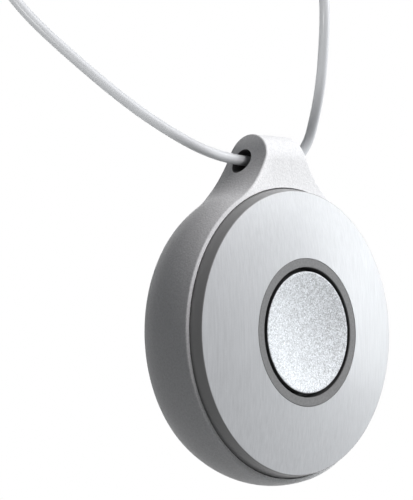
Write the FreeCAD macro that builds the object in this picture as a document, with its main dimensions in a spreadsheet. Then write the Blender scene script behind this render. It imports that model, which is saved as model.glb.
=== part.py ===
import FreeCAD, Part
import math
import os
from types import SimpleNamespace
import Sketcher

# A wireless panic button worn on a neck cord. +X right, +Z up, the button faces -Y.
# The origin is on the disc's axis, in the flat back face. Lengths are millimetres.

SIZES = {
    # moulded housing: a round tray with bulged sides and a neck for the cord
    "housing_depth": 9.4,
    "front_radius": 21.0,
    "belly_radius": 21.54,
    "belly_depth": 3.3,
    "back_radius": 19.75,
    "edge_round": 0.25,
    "back_edge_round": 0.8,
    "lug_width": 6.72,
    "lug_over_eye": 3.85,
    "lug_spare": 1.0,
    "lug_thickness": 7.5,
    "lug_root_inset": 1.95,
    "flare_radius": 12.84,
    "eye_height": 24.35,
    "eye_setback": 4.4,
    "eye_diameter": 3.3,
    "eye_round": 0.2,
    "cavity_radius": 19.2,
    "seat_depth": 1.2,
    "back_wall": 1.1,
    # front cover: a shallow dome that stands proud of the housing
    "reveal_gap": 0.15,
    "cover_base_radius": 20.33,
    "cover_edge_radius": 19.93,
    "cover_rise": 1.76,
    "cover_wall": 1.3,
    "cover_edge_round": 0.15,
    "dome_rise": 1.46,
    "skirt_depth": 1.4,
    "skirt_wall": 1.25,
    "skirt_slot": 1.5,
    "snap_bead": 0.22,
    "snap_bead_depth": 0.7,
    "push_fit": 0.03,
    "slide_fit": 0.06,
    # ring round the button
    "ring_outer_radius": 10.35,
    "ring_inner_radius": 9.09,
    "ring_flange": 0.9,
    "ring_depth": 2.2,
    "ring_skirt_wall": 0.56,
    "ring_chamfer": 0.08,
    # dished button
    "button_radius": 8.52,
    "button_dish": 0.9,
    "button_edge": 0.12,
    "button_plate": 1.75,
    "button_wall": 1.2,
    "button_flange_radius": 9.45,
    "button_flange": 0.5,
    "button_post_radius": 1.6,
    "button_rib": 0.7,
    "button_rib_setback": 0.25,
    # rubber seal under the button, and the ring that clamps it
    "seal_thickness": 0.4,
    "seal_boss_radius": 1.5,
    "seal_boss": 0.22,
    "seal_roll": 0.3,
    "clamp_seat_radius": 10.7,
    "clamp_seat_wall": 1.1,
    "clamp_wall": 0.64,
    "clamp_base": 0.6,
    "clamp_skirt": 1.35,
    # circuit board and what it carries
    "board_height": 6.6,
    "board_thickness": 0.8,
    "board_radius": 17.5,
    "board_notch": 1.6,
    "board_notch_depth": 0.9,
    "switch_width": 6.0,
    "switch_height": 1.5,
    "switch_corner": 0.7,
    "switch_bore_depth": 1.0,
    "switch_bore_radius": 2.4,
    "stem_radius": 1.65,
    "stem_foot_radius": 2.2,
    "stem_foot": 0.3,
    "stem_fit": 0.05,
    "snap_dome_radius": 2.2,
    "snap_dome_thickness": 0.1,
    "lead_width": 0.7,
    "lead_length": 0.9,
    "lead_thickness": 0.2,
    "chip_width": 4.4,
    "chip_length": 5.0,
    "chip_height": 0.9,
    "chip_place": 7.1,
    "chip_lead_width": 0.25,
    "chip_lead_length": 0.7,
    "chip_lead_pitch": 0.65,
    "radio_width": 5.0,
    "radio_length": 2.5,
    "radio_height": 1.1,
    "radio_drop": 13.6,
    "resonator_length": 3.2,
    "resonator_width": 2.5,
    "resonator_height": 0.8,
    "resonator_aside": 4.4,
    "resonator_drop": 13.4,
    "passive_length": 1.6,
    "passive_width": 0.8,
    "passive_height": 0.5,
    "passive_aside": 6.2,
    "passive_pitch": 1.8,
    "passive_row": 2.6,
    "passive_drop": 6.4,
    "passive_spacing": 2.4,
    "aerial_radius": 13.6,
    "aerial_wire": 0.6,
    "aerial_lift": 1.2,
    # lithium coin cell and its contacts
    "cell_radius": 10.0,
    "cell_height": 3.2,
    "cell_gap": 0.7,
    "cell_step_radius": 8.85,
    "cell_step": 0.25,
    "cell_round": 0.4,
    "clip_thickness": 0.25,
    "clip_width": 5.0,
    "clip_gap": 0.2,
    "clip_foot": 1.1,
    "contact_radius": 5.2,
    "contact_hole": 2.2,
    "contact_land": 0.7,
    "contact_thickness": 0.15,
    # back cover, its seal ring and the screws
    "door_radius": 17.3,
    "door_thickness": 1.4,
    "door_fit": 0.08,
    "door_seat_gap": 0.1,
    "door_edge": 0.2,
    "bore_radius": 12.6,
    "spigot_wall": 1.3,
    "spigot_depth": 1.15,
    "seal_groove": 0.8,
    "seal_groove_depth": 0.62,
    "seal_groove_setback": 0.22,
    "seal_ring_section": 0.64,
    "door_rib": 1.0,
    "door_rib_spacing": 4.5,
    "door_rib_length": 8.0,
    "door_rib_gap": 0.1,
    "guide_gap": 0.25,
    "guide_wall": 0.9,
    "guide_width": 5.0,
    "guide_reach": 3.3,
    "door_screw_circle": 15.0,
    "board_screw_circle": 15.6,
    "screw_radius": 0.8,
    "screw_head_radius": 1.45,
    "screw_head": 0.8,
    "screw_length": 3.6,
    "screw_slot": 0.45,
    "screw_slot_length": 1.7,
    "screw_slot_depth": 0.45,
    "screw_head_fit": 0.12,
    "screw_head_sink": 0.05,
    "screw_pilot_gap": 0.02,
    "boss_radius": 1.7,
    "boss_rib": 1.0,
    "boss_rib_bite": 0.4,
    "door_boss_height": 3.7,
    # neck cord, the put-away coil, its tie and the breakaway clasp
    "cord_diameter": 1.5,
    "coil_radius": 8.6,
    "coil_section_radius": 3.0,
    "coil_aside": -8.0,
    "coil_setback": 1.1,
    "coil_height": 75.6,
    "tie_width": 2.4,
    "tie_thickness": 0.6,
    "tie_fit": 0.18,
    "clasp_radius": 2.1,
    "clasp_half": 6.5,
    "clasp_probe_radius": 1.3,
    "clasp_probe": 3.0,
    "clasp_fit": 0.05,
    "clasp_wall": 0.5,
    "clasp_cord_fit": 0.05,
    "clasp_round": 0.5,
    "clasp_gap": 0.2,
}
SCREW_COUNT = 3
BUTTON_RIBS = 6
SKIRT_SLOTS = 6
CHIP_PIN_COUNT = 7

# The cord's routes from the eye to the coil, beside the eye's centre, chosen by hand.
# The loop's plane is turned from the pendant's, so the right strand rises in front of the left.
RIGHT_ROUTE = [
    (5.0, 0.0, 0.0),
    (7.4, -0.2, 1.2),
    (8.8, -1.0, 3.6),
    (8.7, -2.2, 6.6),
    (7.8, -4.0, 9.9),
    (6.6, -5.7, 13.2),
    (5.4, -7.2, 16.9),
    (4.5, -8.3, 21.0),
    (4.3, -8.4, 25.2),
    (4.9, -7.4, 29.6),
    (5.6, -5.0, 33.6),
    (5.9, -1.8, 37.0),
    (4.8, 1.6, 39.8),
    (1.6, 4.4, 41.7),
    (-3.0, 5.8, 42.5),
    (-9.5, 6.1, 42.65),
]
LEFT_ROUTE = [
    (-5.0, 0.0, 0.0),
    (-9.9, 1.5, 1.05),
    (-14.0, 4.1, 3.55),
    (-19.4, 7.3, 7.65),
    (-25.5, 11.2, 13.65),
    (-31.0, 14.8, 19.65),
    (-34.2, 17.2, 24.65),
    (-35.6, 17.4, 29.8),
    (-34.6, 16.2, 34.8),
    (-30.6, 13.6, 39.0),
    (-24.6, 10.2, 41.5),
    (-17.0, 7.2, 42.5),
    (-7.5, 6.1, 42.65),
]
ARC_SHARE = 0.45


class Size:
    """A length with its number and the sheet expression that it is bound to."""

    def __init__(self, value, text):
        self.value = value
        self.text = text

    @staticmethod
    def of(thing):
        if isinstance(thing, Size):
            return thing
        return Size(float(thing), str(float(thing)))

    def __add__(self, other):
        other = Size.of(other)
        return Size(self.value + other.value, f"({self.text} + {other.text})")

    def __sub__(self, other):
        other = Size.of(other)
        return Size(self.value - other.value, f"({self.text} - {other.text})")

    def __mul__(self, other):
        other = Size.of(other)
        return Size(self.value * other.value, f"({self.text} * {other.text})")

    def __truediv__(self, other):
        other = Size.of(other)
        return Size(self.value / other.value, f"({self.text} / {other.text})")

    def __neg__(self):
        return Size(0.0, "0") - self

    def __radd__(self, other):
        return Size.of(other) + self

    def __rsub__(self, other):
        return Size.of(other) - self

    def __rmul__(self, other):
        return Size.of(other) * self

    def root(self):
        return Size(math.sqrt(self.value), f"sqrt({self.text})")


doc = FreeCAD.newDocument("panic_button")
sheet = doc.addObject("Spreadsheet::Sheet", "sizes")
for row, (alias, value) in enumerate(SIZES.items(), 1):
    sheet.set(f"A{row}", alias)
    sheet.set(f"B{row}", str(value))
    sheet.setAlias(f"B{row}", alias)
doc.recompute()

size = SimpleNamespace(**{name: Size(value, f"sizes.{name}") for name, value in SIZES.items()})

# Planes across the disc's axis, from the back face at 0 to the button's rim.
ledge = -size.housing_depth
rim = ledge - size.cover_rise
face = rim - size.dome_rise
cover_seat = ledge + size.seat_depth
skirt_end = cover_seat + size.skirt_depth
back_seat = -(size.door_thickness + size.door_seat_gap)
back_inner = back_seat - size.back_wall
ring_seat = face + size.ring_flange
ring_bottom = face + size.ring_depth
flange_bottom = ring_bottom + size.button_flange
button_under = face + size.button_plate
seal_under = flange_bottom + size.seal_thickness
seal_tip = seal_under + size.seal_boss
board_back = -size.board_height
board_front = board_back - size.board_thickness
switch_top = board_front - size.switch_height
cell_front = board_back + size.cell_gap
cell_back = cell_front + size.cell_height
clip_back = cell_back + size.clip_thickness
door_inner = -size.door_thickness
spigot_end = door_inner - size.spigot_depth

# Heights of the lug above the disc's centre.
lug_top = size.eye_height + size.lug_over_eye
lug_root = size.back_radius - size.lug_root_inset

# Radii that follow from others.
opening_radius = size.cover_base_radius + size.reveal_gap
ring_seat_radius = size.ring_outer_radius + size.push_fit
ring_skirt_radius = size.ring_inner_radius + size.ring_skirt_wall
button_hole_radius = ring_skirt_radius + size.push_fit
skirt_radius = size.cavity_radius - size.slide_fit
skirt_inner = skirt_radius - size.skirt_wall
clamp_seat_outer = size.clamp_seat_radius + size.clamp_seat_wall
clamp_inner = clamp_seat_outer + size.push_fit
clamp_outer = clamp_inner + size.clamp_wall
door_recess_radius = size.door_radius + size.door_fit
spigot_radius = size.bore_radius - size.door_fit
spigot_inner = spigot_radius - size.spigot_wall
button_post_bottom = flange_bottom

# The front cover's dome is part of a sphere through the ring's seat and the rim.
dome_reach = size.cover_edge_radius * size.cover_edge_radius - ring_seat_radius * ring_seat_radius
dome_setback = (dome_reach + size.dome_rise * size.dome_rise) / (2 * size.dome_rise)
dome_radius = (dome_setback * dome_setback + ring_seat_radius * ring_seat_radius).root()


def dome_inner(radius):
    """Where the cover's inner face is at this radius."""
    inner = dome_radius - size.cover_wall
    return face + dome_setback - (inner * inner - radius * radius).root()


def bind(item, path, length):
    item.setExpression(path, Size.of(length).text)


def part_body(label):
    item = doc.addObject("PartDesign::Body", label)
    item.Label = label
    return item


def origin_feature(item, role):
    return next(feature for feature in item.Origin.OriginFeatures if feature.Role == role)


def sketch_on(item, name, role, offset=None):
    """A sketch on one of the body's own planes, moved along that plane's normal."""
    sketch = item.newObject("Sketcher::SketchObject", f"{item.Label}_{name}")
    sketch.AttachmentSupport = [(origin_feature(item, role), "")]
    sketch.MapMode = "FlatFace"
    if offset is not None:
        bind(sketch, "AttachmentOffset.Base.z", offset)
    return sketch


def across(item, name, depth):
    """A sketch square to the disc's axis. The plane's normal points to the front."""
    return sketch_on(item, name, "XZ_Plane", -depth)


def hold(sketch, constraint, length):
    index = sketch.addConstraint(constraint)
    name = f"held{index}"
    sketch.renameConstraint(index, name)
    bind(sketch, f"Constraints.{name}", length)


def pin(sketch, edge, end, x, y):
    """Hold one point of an edge at a place in the sketch."""
    for kind, axis, length in (("DistanceX", -2, Size.of(x)), ("DistanceY", -1, Size.of(y))):
        if length.value == 0:
            sketch.addConstraint(Sketcher.Constraint("PointOnObject", edge, end, axis))
        else:
            hold(sketch, Sketcher.Constraint(kind, -1, 1, edge, end, length.value), length)


def arc_between(start, stop, radius):
    """The shorter arc from start to stop. It turns left where the radius is positive."""
    chord = stop - start
    middle = (start + stop) / 2
    left = FreeCAD.Vector(-chord.y, chord.x, 0).normalize()
    lift = math.sqrt(radius * radius - chord.Length * chord.Length / 4)
    centre = middle + left * math.copysign(lift, radius)
    first, last = (start, stop) if radius > 0 else (stop, start)
    angles = [math.atan2(point.y - centre.y, point.x - centre.x) for point in (first, last)]
    circle = Part.Circle(centre, FreeCAD.Vector(0, 0, 1), abs(radius))
    return Part.ArcOfCircle(circle, angles[0], angles[1])


def outline(sketch, corners):
    """A closed outline. A corner is (x, y), or (x, y, radius) where an arc ends there."""
    ends = []
    previous = corners[-1]
    for corner in corners:
        start = FreeCAD.Vector(Size.of(previous[0]).value, Size.of(previous[1]).value, 0)
        stop = FreeCAD.Vector(Size.of(corner[0]).value, Size.of(corner[1]).value, 0)
        if len(corner) == 3:
            radius = Size.of(corner[2])
            edge = sketch.addGeometry(arc_between(start, stop, radius.value))
            first, last = (1, 2) if radius.value > 0 else (2, 1)
            length = radius if radius.value > 0 else -radius
            hold(sketch, Sketcher.Constraint("Radius", edge, length.value), length)
        else:
            edge = sketch.addGeometry(Part.LineSegment(start, stop))
            first, last = 1, 2
        pin(sketch, edge, last, corner[0], corner[1])
        ends.append((edge, first, last))
        previous = corner
    for before, after in zip(ends, ends[1:] + ends[:1]):
        joint = Sketcher.Constraint("Coincident", before[0], before[2], after[0], after[1])
        sketch.addConstraint(joint)


def ring(sketch, x, y, radius):
    """A full circle at a place in the sketch."""
    centre = FreeCAD.Vector(Size.of(x).value, Size.of(y).value, 0)
    radius = Size.of(radius)
    edge = sketch.addGeometry(Part.Circle(centre, FreeCAD.Vector(0, 0, 1), radius.value))
    hold(sketch, Sketcher.Constraint("Radius", edge, radius.value), radius)
    pin(sketch, edge, 3, x, y)


def rectangle(sketch, left, right, low, high):
    outline(sketch, [(left, low), (right, low), (right, high), (left, high)])


def turned(item, name, corners, kind="Revolution", axis="V_Axis"):
    """A profile of (radius, depth) corners turned about the disc's axis."""
    profile = sketch_on(item, name + "_profile", "XY_Plane")
    outline(profile, corners)
    feature = item.newObject("PartDesign::" + kind, f"{item.Label}_{name}")
    feature.Profile = profile
    feature.ReferenceAxis = (profile, [axis])
    feature.Angle = 360
    return feature


def extruded(item, name, profile, length, kind="Pad", backwards=False):
    feature = item.newObject("PartDesign::" + kind, f"{item.Label}_{name}")
    feature.Profile = profile
    if length is None:
        feature.Type = "ThroughAll"
        feature.SideType = "Symmetric"
    else:
        bind(feature, "Length", length)
    feature.Reversed = backwards
    return feature


def both_ways(item, name, profile, length):
    """A pad of this length with the sketch plane in its middle."""
    feature = extruded(item, name, profile, length)
    feature.SideType = "Symmetric"
    return feature


def around(item, name, features, count):
    """Copies of features evenly round the disc's axis."""
    pattern = item.newObject("PartDesign::PolarPattern", f"{item.Label}_{name}")
    pattern.Originals = features
    pattern.Axis = (origin_feature(item, "Y_Axis"), [""])
    pattern.Angle = 360
    pattern.Occurrences = count
    item.Tip = pattern
    return pattern


def edge_names(shape, wanted):
    return [f"Edge{index}" for index, edge in enumerate(shape.Edges, 1) if wanted(edge)]


def rounded(item, name, feature, wanted, radius, kind="Fillet"):
    """Round or chamfer the edges of a feature that a test picks out."""
    doc.recompute()
    names = edge_names(feature.Shape, wanted)
    if not names:
        raise ValueError(f"{item.Label}: no edge for {name}")
    dress = item.newObject("PartDesign::" + kind, f"{item.Label}_{name}")
    dress.Base = (feature, names)
    bind(dress, "Radius" if kind == "Fillet" else "Size", radius)
    return dress


def near(value, length, slack=0.01):
    return abs(value - Size.of(length).value) < slack


def circular(edge, depth, radius):
    """True for a circle about the disc's axis at this depth, of this radius."""
    box = edge.BoundBox
    flat = near(box.YMin, depth) and near(box.YMax, depth)
    return flat and near(box.XMax, radius) and near(box.ZMax, radius)


def housing_section(item, name, depth, radius):
    """The housing's outline: the disc, a flare on each side, and a cap above the lug."""
    half = size.lug_width.value / 2
    cap_height = lug_top + size.lug_spare
    top = cap_height.value
    flare = size.flare_radius.value
    reach = radius.value + flare
    span = math.hypot(half, top)
    along = (reach * reach - flare * flare + span * span) / (2 * span)
    aside = math.sqrt(reach * reach - along * along)
    centre_x = (along * half + aside * top) / span
    centre_y = (along * top - aside * half) / span
    touch = math.atan2(centre_y, centre_x)
    end = math.atan2(top - centre_y, half - centre_x)
    normal = FreeCAD.Vector(0, 0, 1)
    sketch = across(item, name, depth)
    disc_circle = Part.Circle(FreeCAD.Vector(0, 0, 0), normal, radius.value)
    disc = sketch.addGeometry(Part.ArcOfCircle(disc_circle, math.pi - touch, 2 * math.pi + touch))
    right_circle = Part.Circle(FreeCAD.Vector(centre_x, centre_y, 0), normal, flare)
    right = sketch.addGeometry(Part.ArcOfCircle(right_circle, end, math.pi + touch))
    top_line = Part.LineSegment(FreeCAD.Vector(half, top, 0), FreeCAD.Vector(-half, top, 0))
    cap = sketch.addGeometry(top_line)
    left_circle = Part.Circle(FreeCAD.Vector(-centre_x, centre_y, 0), normal, flare)
    left = sketch.addGeometry(Part.ArcOfCircle(left_circle, -touch, math.pi - end))
    sketch.addConstraint(Sketcher.Constraint("Coincident", disc, 3, -1, 1))
    hold(sketch, Sketcher.Constraint("Radius", disc, radius.value), radius)
    hold(sketch, Sketcher.Constraint("Radius", right, flare), size.flare_radius)
    sketch.addConstraint(Sketcher.Constraint("Equal", right, left))
    sketch.addConstraint(Sketcher.Constraint("Tangent", disc, 2, right, 2))
    sketch.addConstraint(Sketcher.Constraint("Tangent", disc, 1, left, 1))
    sketch.addConstraint(Sketcher.Constraint("Coincident", right, 1, cap, 1))
    sketch.addConstraint(Sketcher.Constraint("Coincident", cap, 2, left, 2))
    sketch.addConstraint(Sketcher.Constraint("Symmetric", cap, 1, cap, 2, -2))
    hold(sketch, Sketcher.Constraint("DistanceY", -1, 1, cap, 1, top), cap_height)
    hold(sketch, Sketcher.Constraint("DistanceX", cap, 2, cap, 1, 2 * half), size.lug_width)
    return sketch


def lug_side(item):
    """What is cut off the lug, seen from the side: a sloping back and a full-round top."""
    radius = size.lug_thickness.value / 2
    centre = FreeCAD.Vector(ledge.value + radius, lug_top.value - radius, 0)
    root = FreeCAD.Vector(0, lug_root.value, 0)
    away = centre - root
    lean = math.atan2(away.y, away.x)
    turn = math.acos(radius / away.Length)
    touch_angle = lean - math.pi + turn
    touch = centre + FreeCAD.Vector(math.cos(touch_angle), math.sin(touch_angle), 0) * radius
    margin = size.lug_thickness
    front = ledge - margin
    above = lug_top + margin
    shoulder = lug_top - size.lug_thickness / 2
    sketch = sketch_on(item, "lug_side", "YZ_Plane")
    slope = sketch.addGeometry(Part.LineSegment(root, touch))
    circle = Part.Circle(centre, FreeCAD.Vector(0, 0, 1), radius)
    crown = sketch.addGeometry(Part.ArcOfCircle(circle, touch_angle, math.pi))
    corners = [(ledge, shoulder), (front, shoulder), (front, above), (margin, above)]
    corners += [(margin, lug_root), (0, lug_root)]
    lines = []
    for start, stop in zip(corners, corners[1:]):
        points = [FreeCAD.Vector(Size.of(x).value, Size.of(y).value, 0) for x, y in (start, stop)]
        line = sketch.addGeometry(Part.LineSegment(points[0], points[1]))
        pin(sketch, line, 2, stop[0], stop[1])
        lines.append(line)
    sketch.addConstraint(Sketcher.Constraint("Tangent", slope, 2, crown, 1))
    hold(sketch, Sketcher.Constraint("Radius", crown, radius), size.lug_thickness / 2)
    pin(sketch, crown, 2, ledge, shoulder)
    sketch.addConstraint(Sketcher.Constraint("Horizontal", crown, 3, crown, 2))
    sketch.addConstraint(Sketcher.Constraint("Coincident", crown, 2, lines[0], 1))
    for before, after in zip(lines, lines[1:]):
        sketch.addConstraint(Sketcher.Constraint("Coincident", before, 2, after, 1))
    sketch.addConstraint(Sketcher.Constraint("Coincident", lines[-1], 2, slope, 1))
    return sketch


def make_housing():
    item = part_body("housing")
    front = housing_section(item, "front", ledge, size.front_radius)
    belly = housing_section(item, "belly", ledge + size.belly_depth, size.belly_radius)
    rear = housing_section(item, "rear", Size.of(0), size.back_radius)
    shell = item.newObject("PartDesign::AdditiveLoft", "housing_shell")
    shell.Profile = front
    shell.Sections = [belly, rear]
    shell.Ruled = False
    crown = extruded(item, "lug_crown", lug_side(item), None, "Pocket")

    def back_edge(edge):
        box = edge.BoundBox
        return near(box.YMin, 0) and near(box.YMax, 0) and not isinstance(edge.Curve, Part.Line)

    def front_or_lug_edge(edge):
        box = edge.BoundBox
        at_lug = box.ZMax > size.eye_height.value
        curved = not isinstance(edge.Curve, Part.Line)
        return curved and (near(box.YMax, ledge) or at_lug)

    back = rounded(item, "back_edge", crown, back_edge, size.back_edge_round)
    rounded(item, "edges", back, front_or_lug_edge, size.edge_round)
    bead = size.snap_bead + size.slide_fit
    bead_y = cover_seat + size.snap_bead_depth
    past = size.lug_thickness
    turned(item, "cavity", [
        (0, ledge - past),
        (opening_radius, ledge - past),
        (opening_radius, cover_seat),
        (size.cavity_radius, cover_seat),
        (size.cavity_radius, bead_y - bead),
        (size.cavity_radius + bead, bead_y),
        (size.cavity_radius, bead_y + bead),
        (size.cavity_radius, back_inner),
        (size.bore_radius, back_inner),
        (size.bore_radius, back_seat),
        (door_recess_radius, back_seat),
        (door_recess_radius, past),
        (0, past),
    ], "Groove")
    posts = []
    for name, circle_radius, top, sign in (
        ("board_post", size.board_screw_circle, board_back, 1),
        ("door_boss", size.door_screw_circle, back_seat - size.door_boss_height, -1),
    ):
        sketch = across(item, name, back_seat)
        ring(sketch, 0, sign * circle_radius, size.boss_radius)
        post = extruded(item, name + "_pad", sketch, back_seat - top)
        web = across(item, name + "_web", back_seat)
        half = size.boss_rib / 2
        near_end = sign * circle_radius
        far_end = sign * (size.cavity_radius + size.boss_rib_bite)
        low, high = (near_end, far_end) if sign > 0 else (far_end, near_end)
        rectangle(web, -half, half, low, high)
        rib = extruded(item, name + "_rib", web, back_seat - top)
        posts.append(around(item, name + "s", [post, rib], SCREW_COUNT))
    for name, circle_radius, start, sign, backwards in (
        ("board_pilot", size.board_screw_circle, board_back, 1, False),
        ("door_pilot", size.door_screw_circle, back_seat, -1, True),
    ):
        sketch = across(item, name, start)
        ring(sketch, 0, sign * circle_radius, size.screw_radius + size.screw_pilot_gap)
        drill = extruded(item, name + "_hole", sketch, size.screw_length, "Pocket", backwards)
        around(item, name + "s", [drill], SCREW_COUNT)
    eye = sketch_on(item, "eye", "YZ_Plane")
    ring(eye, ledge + size.eye_setback, size.eye_height, size.eye_diameter / 2)
    bore = extruded(item, "eye_bore", eye, None, "Pocket")

    def eye_edge(edge):
        box = edge.BoundBox
        mouth = near(box.YLength, size.eye_diameter, 0.1) and box.XLength < size.eye_diameter.value
        return mouth and abs(box.Center.z - size.eye_height.value) < size.eye_diameter.value / 2

    rounded(item, "eye_mouths", bore, eye_edge, size.eye_round)
    return item


def make_front_cover():
    item = part_body("front_cover")
    bead_y = cover_seat + size.snap_bead_depth
    inner = dome_radius - size.cover_wall
    shell = turned(item, "shell", [
        (ring_seat_radius, face),
        (size.cover_edge_radius, rim, dome_radius),
        (size.cover_base_radius, ledge),
        (size.cover_base_radius, cover_seat),
        (skirt_radius, cover_seat),
        (skirt_radius, bead_y - size.snap_bead),
        (skirt_radius + size.snap_bead, bead_y),
        (skirt_radius, bead_y + size.snap_bead),
        (skirt_radius, skirt_end),
        (skirt_inner, skirt_end),
        (skirt_inner, dome_inner(skirt_inner)),
        (clamp_seat_outer, dome_inner(clamp_seat_outer), -inner),
        (clamp_seat_outer, flange_bottom),
        (size.clamp_seat_radius, flange_bottom),
        (size.clamp_seat_radius, face + size.cover_wall),
        (button_hole_radius, face + size.cover_wall),
        (button_hole_radius, ring_seat),
        (ring_seat_radius, ring_seat),
    ])

    def front_edge(edge):
        return circular(edge, rim, size.cover_edge_radius)

    rounded(item, "rim", shell, front_edge, size.cover_edge_round)
    slot = across(item, "slot", skirt_end)
    half = size.skirt_slot / 2
    rectangle(slot, -half, half, skirt_inner - size.skirt_wall, skirt_radius + size.skirt_wall)
    cut = extruded(item, "slot_cut", slot, size.skirt_depth, "Pocket", True)
    around(item, "slots", [cut], SKIRT_SLOTS)
    return item


def make_bezel_ring():
    item = part_body("bezel_ring")
    body = turned(item, "body", [
        (size.ring_inner_radius, face),
        (size.ring_outer_radius, face),
        (size.ring_outer_radius, ring_seat),
        (ring_skirt_radius, ring_seat),
        (ring_skirt_radius, ring_bottom),
        (size.ring_inner_radius, ring_bottom),
    ])

    def front_edges(edge):
        inside = circular(edge, face, size.ring_inner_radius)
        return inside or circular(edge, face, size.ring_outer_radius)

    rounded(item, "edges", body, front_edges, size.ring_chamfer, "Chamfer")
    return item


def make_button_cap():
    item = part_body("button_cap")
    reach = size.button_radius - size.button_edge
    dish_radius = (reach * reach + size.button_dish * size.button_dish) / (2 * size.button_dish)
    wall_inner = size.button_radius - size.button_wall
    turned(item, "cap", [
        (0, face + size.button_dish),
        (reach, face, -dish_radius),
        (size.button_radius, face + size.button_edge, size.button_edge),
        (size.button_radius, ring_bottom),
        (size.button_flange_radius, ring_bottom),
        (size.button_flange_radius, flange_bottom),
        (wall_inner, flange_bottom),
        (wall_inner, button_under),
        (size.button_post_radius, button_under),
        (size.button_post_radius, button_post_bottom),
        (0, button_post_bottom),
    ])
    web = across(item, "rib_outline", flange_bottom - size.button_rib_setback)
    half = size.button_rib / 2
    rectangle(web, -half, half, size.button_post_radius / 2, wall_inner + size.button_wall / 2)
    length = flange_bottom - size.button_rib_setback - button_under
    rib = extruded(item, "rib", web, length)
    around(item, "ribs", [rib], BUTTON_RIBS)
    return item


def make_button_seal():
    item = part_body("button_seal")
    middle = (size.button_flange_radius + size.clamp_seat_radius) / 2
    half = (size.clamp_seat_radius - size.button_flange_radius) / 2
    bulge = (half * half + size.seal_roll * size.seal_roll) / (2 * size.seal_roll)
    turned(item, "sheet", [
        (0, flange_bottom),
        (middle - half, flange_bottom),
        (middle + half, flange_bottom, -bulge),
        (clamp_seat_outer, flange_bottom),
        (clamp_seat_outer, seal_under),
        (middle + half, seal_under),
        (middle - half, seal_under, bulge),
        (size.seal_boss_radius, seal_under),
        (size.seal_boss_radius, seal_tip),
        (0, seal_tip),
    ])
    return item


def make_seal_clamp():
    item = part_body("seal_clamp")
    back = seal_under + size.clamp_base
    turned(item, "cup", [
        (size.clamp_seat_radius, seal_under),
        (clamp_inner, seal_under),
        (clamp_inner, seal_under - size.clamp_skirt),
        (clamp_outer, seal_under - size.clamp_skirt),
        (clamp_outer, back),
        (size.clamp_seat_radius, back),
    ])
    return item


def make_circuit_board():
    item = part_body("circuit_board")
    disc = across(item, "disc", board_back)
    ring(disc, 0, 0, size.board_radius)
    extruded(item, "plate", disc, size.board_thickness)
    hole = across(item, "hole", board_front)
    ring(hole, 0, size.board_screw_circle, size.screw_radius + size.slide_fit)
    drill = extruded(item, "drill", hole, size.board_thickness, "Pocket")
    around(item, "holes", [drill], SCREW_COUNT)
    notch = across(item, "notch", board_front)
    half = size.board_notch / 2
    inner = size.board_radius - size.board_notch_depth
    rectangle(notch, -half, half, -size.board_radius - 1, -inner)
    extruded(item, "notch_cut", notch, size.board_thickness, "Pocket")
    return item


def make_switch_body():
    item = part_body("switch_body")
    half = size.switch_width / 2
    cut = half - size.switch_corner
    plan = across(item, "plan", board_front)
    outline(plan, [
        (-cut, -half), (cut, -half), (half, -cut), (half, cut),
        (cut, half), (-cut, half), (-half, cut), (-half, -cut),
    ])
    extruded(item, "block", plan, size.switch_height)
    lead = across(item, "lead", board_front)
    end = half + size.lead_length
    low = cut - size.lead_width
    outline(lead, [(0, low), (end, low), (end, cut), (0, cut)])
    pad = extruded(item, "lead_pad", lead, size.lead_thickness)
    side = item.newObject("PartDesign::Mirrored", "switch_body_leads_across")
    side.Originals = [pad]
    side.MirrorPlane = (origin_feature(item, "YZ_Plane"), [""])
    item.Tip = side
    low_pad = across(item, "low_lead", board_front)
    outline(low_pad, [(-end, -cut), (end, -cut), (end, -low), (-end, -low)])
    extruded(item, "low_leads", low_pad, size.lead_thickness)
    foot = across(item, "foot_bore", board_front)
    ring(foot, 0, 0, size.switch_bore_radius)
    extruded(item, "foot_room", foot, size.switch_bore_depth, "Pocket", True)
    stem = across(item, "stem_bore", board_front)
    ring(stem, 0, 0, size.stem_radius + size.stem_fit)
    extruded(item, "stem_room", stem, size.switch_height, "Pocket", True)
    return item


def make_switch_stem():
    item = part_body("switch_stem")
    shoulder = board_front - size.switch_bore_depth
    turned(item, "stem", [
        (0, seal_tip),
        (size.stem_radius, seal_tip),
        (size.stem_radius, shoulder + size.stem_fit),
        (size.stem_foot_radius, shoulder + size.stem_fit),
        (size.stem_foot_radius, shoulder + size.stem_fit + size.stem_foot),
        (0, shoulder + size.stem_fit + size.stem_foot),
    ])
    return item


def make_switch_dome():
    item = part_body("switch_dome")
    top = board_front - size.switch_bore_depth + size.stem_fit + size.stem_foot
    rise = board_front - top - size.snap_dome_thickness
    reach = size.snap_dome_radius
    bow = (reach * reach + rise * rise) / (2 * rise)
    turned(item, "dome", [
        (0, top),
        (reach, board_front - size.snap_dome_thickness, bow),
        (reach, board_front),
        (0, top + size.snap_dome_thickness, -bow),
    ])
    return item


def make_controller_chip():
    item = part_body("controller_chip")
    plan = across(item, "plan", board_front - size.lead_thickness)
    half = size.chip_width / 2
    left = -(size.chip_place + half)
    right = -(size.chip_place - half)
    end = size.chip_length / 2
    rectangle(plan, left, right, -end, end)
    extruded(item, "package", plan, size.chip_height)
    lead = across(item, "lead", board_front)
    first = -(CHIP_PIN_COUNT - 1) / 2 * size.chip_lead_pitch
    thin = size.chip_lead_width / 2
    out = size.chip_lead_length
    rectangle(lead, left - out, right + out, first - thin, first + thin)
    pad = extruded(item, "lead_pad", lead, size.lead_thickness)
    row = item.newObject("PartDesign::LinearPattern", "controller_chip_leads")
    row.Originals = [pad]
    row.Direction = (origin_feature(item, "Z_Axis"), [""])
    bind(row, "Length", size.chip_lead_pitch * (CHIP_PIN_COUNT - 1))
    row.Occurrences = CHIP_PIN_COUNT
    item.Tip = row
    return item


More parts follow.
